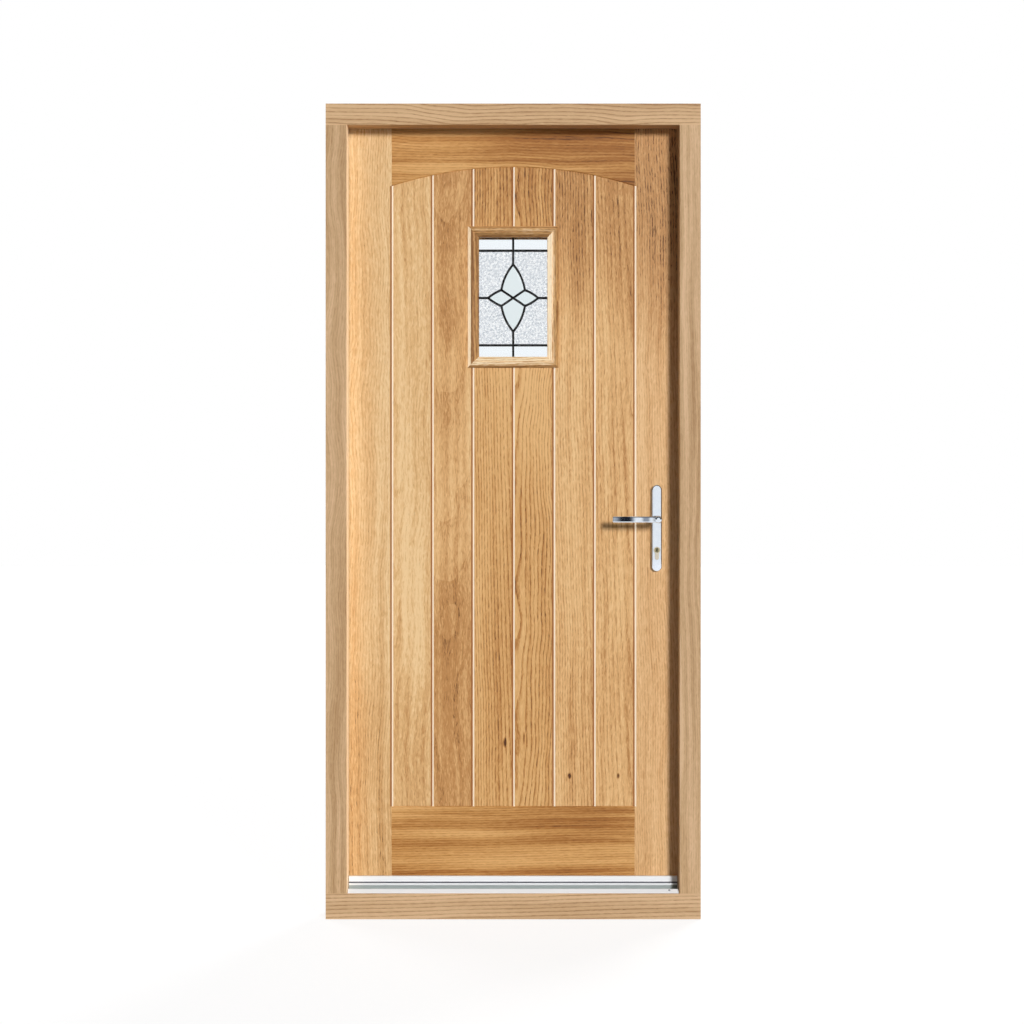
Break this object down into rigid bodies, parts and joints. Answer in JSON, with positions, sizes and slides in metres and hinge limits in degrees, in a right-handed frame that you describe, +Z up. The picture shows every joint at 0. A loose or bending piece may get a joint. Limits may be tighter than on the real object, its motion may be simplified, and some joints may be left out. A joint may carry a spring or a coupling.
{
  "type": "exterior door with frame",
  "caption": "Boarded oak front door with an arched top rail, a small leaded window and a lever lock, hung to open inwards in a rebated oak frame with an aluminium threshold",
  "frame": {"origin": "middle of the oak sill's underside, in the middle of the frame's depth", "axes": "+Z up, the outside face looks along -Y, +X is on the right for someone who stands outside"},
  "size_m": [0.945, 0.1626, 2.055],
  "materials": {
    "frame_oak": "clear lacquered oak, matt",
    "leaf_oak": "clear lacquered oak, satin",
    "aluminium": "mill or satin anodised",
    "steel": "satin stainless or zinc plated",
    "seal_rubber": "dark brown, matt",
    "clear_glass": "clear float glass",
    "patterned_glass": "finely stippled obscure glass",
    "lead": "blackened lead",
    "nickel_brass": "nickel-plated brass",
    "handle_chrome": "polished chrome"
  },
  "bodies": {
    "frame": {"frame_head": "frame_oak", "hinge_jamb": "frame_oak", "lock_jamb": "frame_oak", "oak_sill": "frame_oak", "threshold_bar": "aluminium", "threshold_seal": "seal_rubber", "head_seal": "seal_rubber", "hinge_jamb_seal": "seal_rubber", "lock_jamb_seal": "seal_rubber", "hinge_jamb_flaps": "steel", "hinge_pins": "steel", "centre_keep": "steel", "bottom_hook_keep": "steel", "top_hook_keep": "steel"},
    "leaf": {"hinge_stile": "leaf_oak", "lock_stile": "leaf_oak", "top_rail": "leaf_oak", "bottom_rail": "leaf_oak", "board_1": "leaf_oak", "board_2": "leaf_oak", "board_3": "leaf_oak", "board_4": "leaf_oak", "board_5": "leaf_oak", "board_6": "leaf_oak", "outside_bead_top": "leaf_oak", "outside_bead_bottom": "leaf_oak", "outside_bead_left": "leaf_oak", "outside_bead_right": "leaf_oak", "inside_beads": "leaf_oak", "outer_pane": "clear_glass", "inner_pane": "clear_glass", "spacer_bars": "aluminium", "came_lattice": "lead", "border_glass": "clear_glass", "textured_glass": "patterned_glass", "bevel_glass": "clear_glass", "hinge_leaf_flaps": "steel", "lock_faceplate": "steel", "cylinder_screw": "steel", "lock_case": "steel", "hook_cases": "steel", "hook_pivots": "steel", "cylinder_body": "nickel_brass", "outside_handle_plate": "handle_chrome", "inside_handle_plate": "handle_chrome", "handle_screws": "handle_chrome"},
    "levers": {"outside_lever": "handle_chrome", "inside_lever": "handle_chrome", "spindle": "steel", "lock_follower": "steel"},
    "latch": {"latch_bolt": "steel"},
    "key_plugs": {"cylinder_plugs": "nickel_brass"},
    "dead_bolt": {"deadbolt": "steel"},
    "strip": {"drive_strip": "steel"},
    "hook_low": {"bottom_hook": "steel"},
    "hook_high": {"top_hook": "steel"}
  },
  "joints": [
    {"name": "leaf_swing", "type": "hinge", "parent": "frame", "child": "leaf", "pos_m": [-0.429, 0.054, 1.054], "axis": [0, 0, 1], "range_deg": [0, 110]},
    {"name": "lever_turn", "type": "hinge", "parent": "leaf", "child": "levers", "pos_m": [0.3655, 0.025, 1.007], "axis": [0, -1, 0], "range_deg": [0, 45], "stiffness_Nm_per_rad": 2, "springref_deg": -28.65},
    {"name": "latch_slide", "type": "slide", "parent": "leaf", "child": "latch", "axis": [-1, 0, 0], "range_m": [0, 0.011]},
    {"name": "strip_slide", "type": "slide", "parent": "leaf", "child": "strip", "axis": [0, 0, 1], "range_m": [0, 0.02]},
    {"name": "key_turn", "type": "hinge", "parent": "leaf", "child": "key_plugs", "pos_m": [0.3655, 0.025, 0.929], "axis": [0, -1, 0], "range_deg": [0, 360]},
    {"name": "deadbolt_slide", "type": "slide", "parent": "leaf", "child": "dead_bolt", "axis": [1, 0, 0], "range_m": [0, 0.02]},
    {"name": "bottom_hook_swing", "type": "hinge", "parent": "leaf", "child": "hook_low", "pos_m": [0.408, 0.025, 0.44], "axis": [0, -1, 0], "range_deg": [0, 90]},
    {"name": "top_hook_swing", "type": "hinge", "parent": "leaf", "child": "hook_high", "pos_m": [0.408, 0.025, 1.62], "axis": [0, -1, 0], "range_deg": [0, 90]}
  ],
  "couplings": [
    {"joint": "latch_slide", "follows": "lever_turn", "m_per_rad": 0.014006},
    {"joint": "key_turn", "follows": "strip_slide", "rad_per_m": 314.16},
    {"joint": "deadbolt_slide", "follows": "strip_slide", "ratio": 1},
    {"joint": "bottom_hook_swing", "follows": "strip_slide", "rad_per_m": 78.54},
    {"joint": "top_hook_swing", "follows": "strip_slide", "rad_per_m": 78.54}
  ]
}
